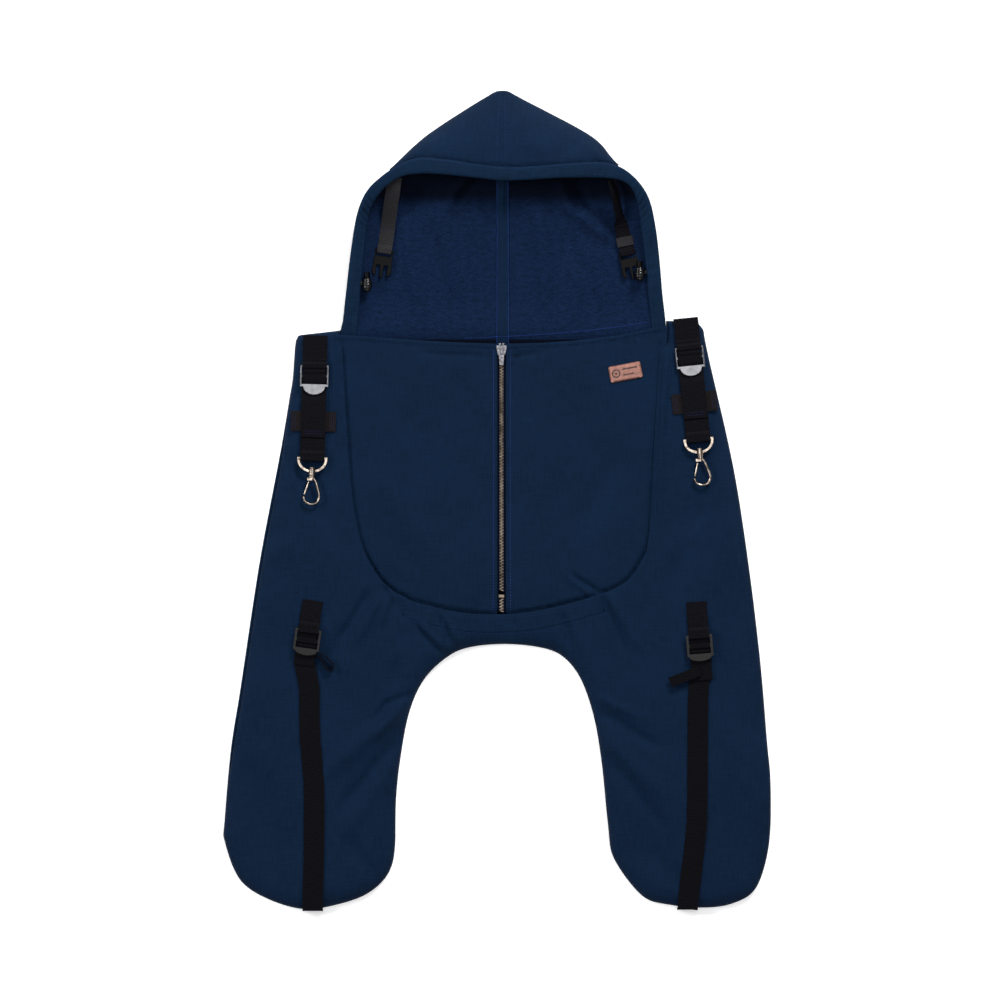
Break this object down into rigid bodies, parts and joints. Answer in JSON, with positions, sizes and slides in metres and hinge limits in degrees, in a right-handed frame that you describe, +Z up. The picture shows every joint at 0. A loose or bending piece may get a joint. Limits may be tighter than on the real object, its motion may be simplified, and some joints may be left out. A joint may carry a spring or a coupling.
{
  "type": "hooded child carrier cover",
  "caption": "Hooded soft-shell cover for a child in a carrier, with a zipped bib, leg pockets with straps, and shoulder straps ending in swivel snap hooks.",
  "frame": {"origin": "on the surface the cover lies on, at the middle of its outline", "axes": "+Y towards the hood's peak, +X to the right seen from above, +Z up through the zip side"},
  "size_m": [0.5474, 0.8218, 0.0404],
  "materials": {
    "softshell": "matt woven soft shell, bonded",
    "fleece": "brushed fleece pile",
    "webbing": "ribbed woven webbing",
    "hood_webbing": "ribbed woven webbing, charcoal",
    "zip_tape": "woven tape",
    "zip_metal": "tumbled metal",
    "nickel": "polished nickel",
    "gunmetal": "satin gunmetal",
    "black_plastic": "moulded, satin",
    "cord": "braided cord",
    "leather": "embossed leather"
  },
  "bodies": {
    "body": {"back_panel": "softshell", "front_panel": "softshell", "crotch_band": "softshell", "bib_left": "softshell", "bib_right": "softshell", "bib_hem_left": "softshell", "bib_hem_right": "softshell", "zip_tape_left": "zip_tape", "zip_tape_right": "zip_tape", "zip_teeth_left": "zip_metal", "zip_teeth_right": "zip_metal", "zip_top_stop_left": "zip_metal", "zip_top_stop_right": "zip_metal", "zip_bottom_stop": "zip_metal", "label": "leather", "shoulder_anchor_web_left": "webbing", "shoulder_strap_left": "webbing", "shoulder_keeper_left": "webbing", "leg_anchor_tab_left": "webbing", "leg_strap_left": "webbing", "leg_pull_loop_left": "webbing", "shoulder_anchor_web_right": "webbing", "shoulder_strap_right": "webbing", "shoulder_keeper_right": "webbing", "leg_anchor_tab_right": "webbing", "leg_strap_right": "webbing", "leg_pull_loop_right": "webbing"},
    "hood": {"hood_left": "softshell", "hood_right": "softshell", "hood_hem": "softshell", "hood_seam_tape": "fleece", "drawcord": "cord", "cord_lock_left": "black_plastic", "cord_lock_right": "black_plastic", "hood_strap_left": "hood_webbing", "hood_strap_right": "hood_webbing", "hood_strap_keeper": "hood_webbing"},
    "slider": {"zip_slider": "zip_metal"},
    "puller": {"zip_puller": "zip_metal"},
    "shoulder_lock_left": {"shoulder_lock_left": "gunmetal"},
    "ring_left": {"d_ring_left": "nickel"},
    "hook_left": {"swivel_hook_left": "nickel"},
    "gate_left": {"hook_gate_left": "nickel"},
    "shoulder_lock_right": {"shoulder_lock_right": "gunmetal"},
    "ring_right": {"d_ring_right": "nickel"},
    "hook_right": {"swivel_hook_right": "nickel"},
    "gate_right": {"hook_gate_right": "nickel"},
    "leg_lock_left": {"leg_lock_left": "black_plastic"},
    "leg_lock_right": {"leg_lock_right": "black_plastic"},
    "buckle_left": {"hood_buckle_left": "black_plastic"},
    "button_left": {"cord_lock_button_left": "black_plastic"},
    "buckle_right": {"hood_buckle_right": "black_plastic"},
    "button_right": {"cord_lock_button_right": "black_plastic"}
  },
  "joints": [
    {"name": "hood_fold", "type": "hinge", "parent": "body", "child": "hood", "pos_m": [0.0045, 0.158, 0.0024], "axis": [1, 0, 0], "range_deg": [0, 90]},
    {"name": "zip_slide", "type": "slide", "parent": "body", "child": "slider", "axis": [0, -1, 0], "range_m": [0, 0.238], "deforming": ["zip_teeth_left", "zip_teeth_right"]},
    {"name": "zip_pull_flip", "type": "hinge", "parent": "slider", "child": "puller", "pos_m": [0.0045, 0.1503, 0.01265], "axis": [-1, 0, 0], "range_deg": [0, 100]},
    {"name": "shoulder_lock_tilt_left", "type": "hinge", "parent": "body", "child": "shoulder_lock_left", "pos_m": [-0.182, 0.133, 0.0174], "axis": [-0.9997, 0.0244, 0], "range_deg": [0, 35], "deforming": ["shoulder_strap_left"]},
    {"name": "ring_lift_left", "type": "hinge", "parent": "body", "child": "ring_left", "pos_m": [-0.18425, 0.04103, 0.0175], "axis": [-0.9997, 0.0244, 0], "range_deg": [0, 120]},
    {"name": "hook_swivel_left", "type": "hinge", "parent": "ring_left", "child": "hook_left", "pos_m": [-0.18466, 0.02423, 0.0175], "axis": [0.0244, 0.9997, 0], "range_deg": [-20, 20]},
    {"name": "gate_open_left", "type": "hinge", "parent": "hook_left", "child": "gate_left", "pos_m": [-0.18782, 0.01781, 0.0175], "axis": [0, 0, 1], "range_deg": [0, 22], "stiffness_Nm_per_rad": 0.02, "springref_deg": -11.46},
    {"name": "shoulder_lock_tilt_right", "type": "hinge", "parent": "body", "child": "shoulder_lock_right", "pos_m": [0.1915, 0.1515, 0.0174], "axis": [-0.9947, -0.1028, 0], "range_deg": [0, 35], "deforming": ["shoulder_strap_right"]},
    {"name": "ring_lift_right", "type": "hinge", "parent": "body", "child": "ring_right", "pos_m": [0.20096, 0.05999, 0.0175], "axis": [-0.9947, -0.1028, 0], "range_deg": [0, 120]},
    {"name": "hook_swivel_right", "type": "hinge", "parent": "ring_right", "child": "hook_right", "pos_m": [0.20268, 0.04328, 0.0175], "axis": [-0.1028, 0.9947, 0], "range_deg": [-20, 20]},
    {"name": "gate_open_right", "type": "hinge", "parent": "hook_right", "child": "gate_right", "pos_m": [0.20037, 0.0365, 0.0175], "axis": [0, 0, 1], "range_deg": [0, 22], "stiffness_Nm_per_rad": 0.02, "springref_deg": -11.46},
    {"name": "leg_lock_tilt_left", "type": "hinge", "parent": "body", "child": "leg_lock_left", "pos_m": [-0.188, -0.1305, 0.0181], "axis": [-0.9903, 0.1392, 0], "range_deg": [0, 35], "deforming": ["leg_strap_left"]},
    {"name": "leg_lock_tilt_right", "type": "hinge", "parent": "body", "child": "leg_lock_right", "pos_m": [0.2015, -0.136, 0.0181], "axis": [-0.9969, -0.0785, 0], "range_deg": [0, 35], "deforming": ["leg_strap_right"]},
    {"name": "buckle_flap_left", "type": "hinge", "parent": "hood", "child": "buckle_left", "pos_m": [-0.1125, 0.2485, 0.00575], "axis": [-0.9895, 0.1444, 0], "range_deg": [0, 90]},
    {"name": "cord_button_left", "type": "slide", "parent": "hood", "child": "button_left", "axis": [0, -1, 0], "range_m": [0, 0.0024], "stiffness_N_per_m": 300, "springref_m": -0.002},
    {"name": "buckle_flap_right", "type": "hinge", "parent": "hood", "child": "buckle_right", "pos_m": [0.1305, 0.2465, 0.00575], "axis": [-0.9759, -0.2181, 0], "range_deg": [0, 10]},
    {"name": "cord_button_right", "type": "slide", "parent": "hood", "child": "button_right", "axis": [0, -1, 0], "range_m": [0, 0.0024], "stiffness_N_per_m": 300, "springref_m": -0.002}
  ]
}
